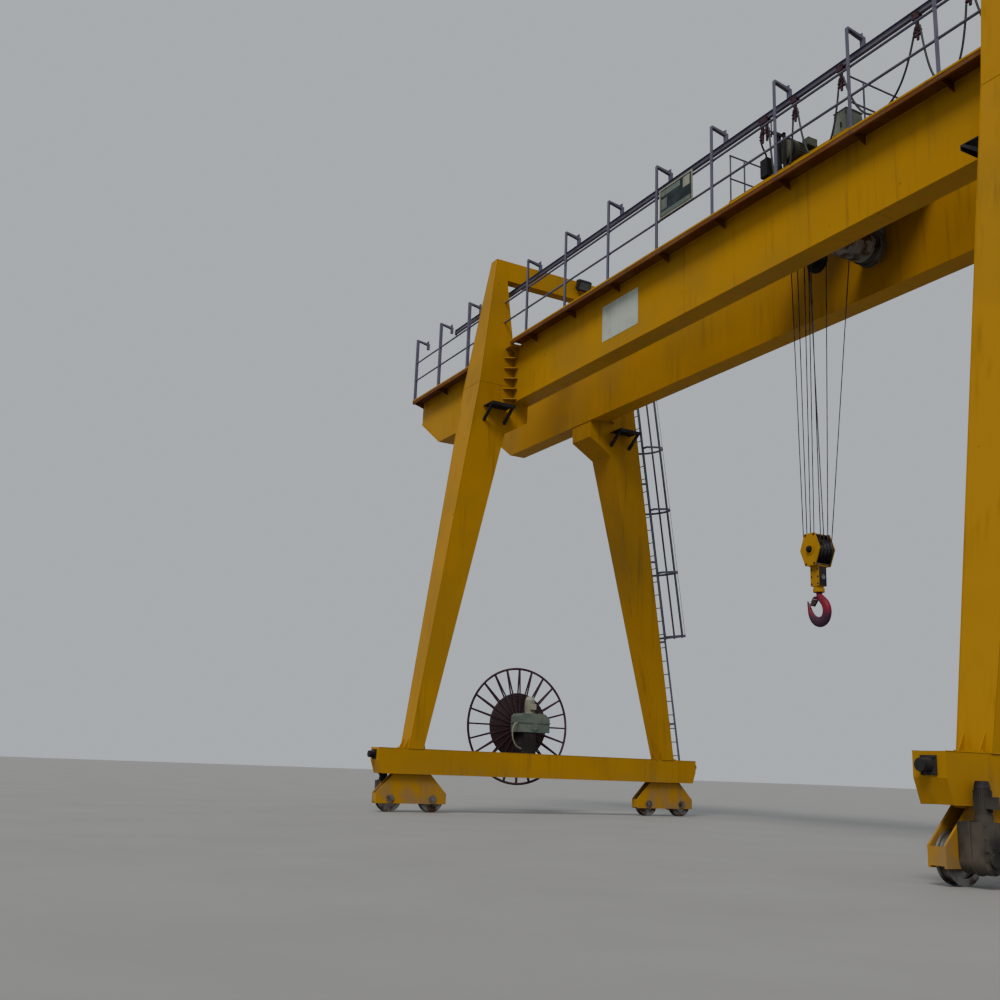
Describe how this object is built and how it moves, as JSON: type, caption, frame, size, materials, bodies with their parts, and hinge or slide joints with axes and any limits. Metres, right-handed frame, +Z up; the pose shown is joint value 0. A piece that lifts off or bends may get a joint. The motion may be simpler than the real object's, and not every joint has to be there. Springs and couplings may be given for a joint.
{
  "type": "gantry crane",
  "caption": "Double-girder gantry crane on leaning box legs, with a travelling trolley, rope hook block, festoon line, caged ladder and spoked cable reel.",
  "frame": {"origin": "on the ground, midway between the legs and between the girders", "axes": "+X along the girders to the picture's right, +Y from the walkway with the festoon to the other girder, +Z up"},
  "size_m": [21.9, 7.96, 11.92],
  "materials": {
    "yellow_paint": "weathered gloss",
    "rail_paint": "matt",
    "brown_paint": "matt, rusty",
    "dark_paint": "satin",
    "teal_paint": "satin",
    "bare_steel": "worn bright on the treads",
    "rusty_paint": "matt, rusty",
    "red_paint": "gloss",
    "beige_paint": "satin",
    "green_paint": "satin",
    "cable_sheath": "matt",
    "wire_rope": "greased"
  },
  "bodies": {
    "gantry": {"front_girder": "yellow_paint", "rear_girder": "yellow_paint", "trolley_rails": "bare_steel", "front_walkway": "brown_paint", "rear_walkway": "brown_paint", "front_railing": "rail_paint", "rear_railing": "rail_paint", "festoon_arms": "rail_paint", "festoon_track": "rail_paint", "front_left_leg": "yellow_paint", "rear_left_leg": "yellow_paint", "front_right_leg": "yellow_paint", "rear_right_leg": "yellow_paint", "top_beams": "yellow_paint", "leg_gussets": "yellow_paint", "access_brackets": "dark_paint", "flood_lamps": "dark_paint", "sill_beams": "yellow_paint", "bogies": "yellow_paint", "travel_wheels": "bare_steel", "travel_drives": "dark_paint", "buffers": "dark_paint", "ladder": "rail_paint", "ladder_cage": "rail_paint", "reel_stand": "dark_paint", "reel_gearbox": "teal_paint", "reel_motor": "beige_paint", "festoon_cable": "cable_sheath"},
    "cable_reel": {"reel_wheel": "rusty_paint", "reel_cable": "cable_sheath"},
    "trolley": {"trolley_frame": "yellow_paint", "trolley_wheels": "bare_steel", "trolley_handrails": "rail_paint", "rope_drum": "bare_steel", "upper_sheaves": "dark_paint", "hoist_gearbox": "teal_paint", "hoist_motor": "green_paint", "hoist_brake": "dark_paint", "trolley_drive": "teal_paint", "control_cabinet": "teal_paint", "junction_box": "dark_paint", "tow_arm": "dark_paint", "hoist_ropes": "wire_rope"},
    "hook_block": {"block_cheeks": "yellow_paint", "block_sheaves": "bare_steel", "block_stem": "yellow_paint"},
    "hook": {"hook": "red_paint"},
    "hook_latch": {"hook_latch": "bare_steel"},
    "carrier_1": {"festoon_carrier_1": "rusty_paint"},
    "carrier_2": {"festoon_carrier_2": "rusty_paint"},
    "carrier_3": {"festoon_carrier_3": "rusty_paint"},
    "carrier_4": {"festoon_carrier_4": "rusty_paint"},
    "carrier_5": {"festoon_carrier_5": "rusty_paint"},
    "carrier_6": {"festoon_carrier_6": "rusty_paint"},
    "tow_carrier": {"tow_carrier": "rusty_paint"}
  },
  "joints": [
    {"name": "trolley_travel", "type": "slide", "parent": "gantry", "child": "trolley", "axis": [1, 0, 0], "range_m": [-9.6, 6], "deforming": ["festoon_cable"]},
    {"name": "hoist", "type": "slide", "parent": "trolley", "child": "hook_block", "axis": [0, 0, 1], "range_m": [-2.85, 3.3], "deforming": ["hoist_ropes"]},
    {"name": "hook_swivel", "type": "hinge", "parent": "hook_block", "child": "hook", "pos_m": [1.39, 0, 3.8], "axis": [0, 0, 1], "continuous": true},
    {"name": "latch_hinge", "type": "hinge", "parent": "hook", "child": "hook_latch", "pos_m": [1.328, 0, 3.617], "axis": [0, -1, 0], "range_deg": [0, 34], "stiffness_Nm_per_rad": 0.6, "springref_deg": -22.92},
    {"name": "reel_spin", "type": "hinge", "parent": "gantry", "child": "cable_reel", "pos_m": [-7.27, -0.24, 1.79], "axis": [1, 0, 0], "continuous": true},
    {"name": "carrier_1_slide", "type": "slide", "parent": "gantry", "child": "carrier_1", "axis": [1, 0, 0], "range_m": [-1.5783, 0.9902]},
    {"name": "carrier_2_slide", "type": "slide", "parent": "carrier_1", "child": "carrier_2", "axis": [1, 0, 0], "range_m": [-1.5625, 0.9803]},
    {"name": "carrier_3_slide", "type": "slide", "parent": "carrier_2", "child": "carrier_3", "axis": [1, 0, 0], "range_m": [-1.5625, 0.9803]},
    {"name": "carrier_4_slide", "type": "slide", "parent": "carrier_3", "child": "carrier_4", "axis": [1, 0, 0], "range_m": [-1.0872, 0.6833]},
    {"name": "carrier_5_slide", "type": "slide", "parent": "carrier_4", "child": "carrier_5", "axis": [1, 0, 0], "range_m": [-1.9585, 1.2278]},
    {"name": "carrier_6_slide", "type": "slide", "parent": "carrier_5", "child": "carrier_6", "axis": [1, 0, 0], "range_m": [-1.2615, 0.7922]},
    {"name": "tow_carrier_slide", "type": "slide", "parent": "carrier_6", "child": "tow_carrier", "axis": [1, 0, 0], "range_m": [-0.6595, 0.4159]}
  ],
  "couplings": [
    {"joint": "carrier_1_slide", "follows": "trolley_travel", "ratio": 0.16337},
    {"joint": "carrier_2_slide", "follows": "trolley_travel", "ratio": 0.16172},
    {"joint": "carrier_3_slide", "follows": "trolley_travel", "ratio": 0.16172},
    {"joint": "carrier_4_slide", "follows": "trolley_travel", "ratio": 0.11221},
    {"joint": "carrier_5_slide", "follows": "trolley_travel", "ratio": 0.20297},
    {"joint": "carrier_6_slide", "follows": "trolley_travel", "ratio": 0.13036},
    {"joint": "tow_carrier_slide", "follows": "trolley_travel", "ratio": 0.067658}
  ]
}
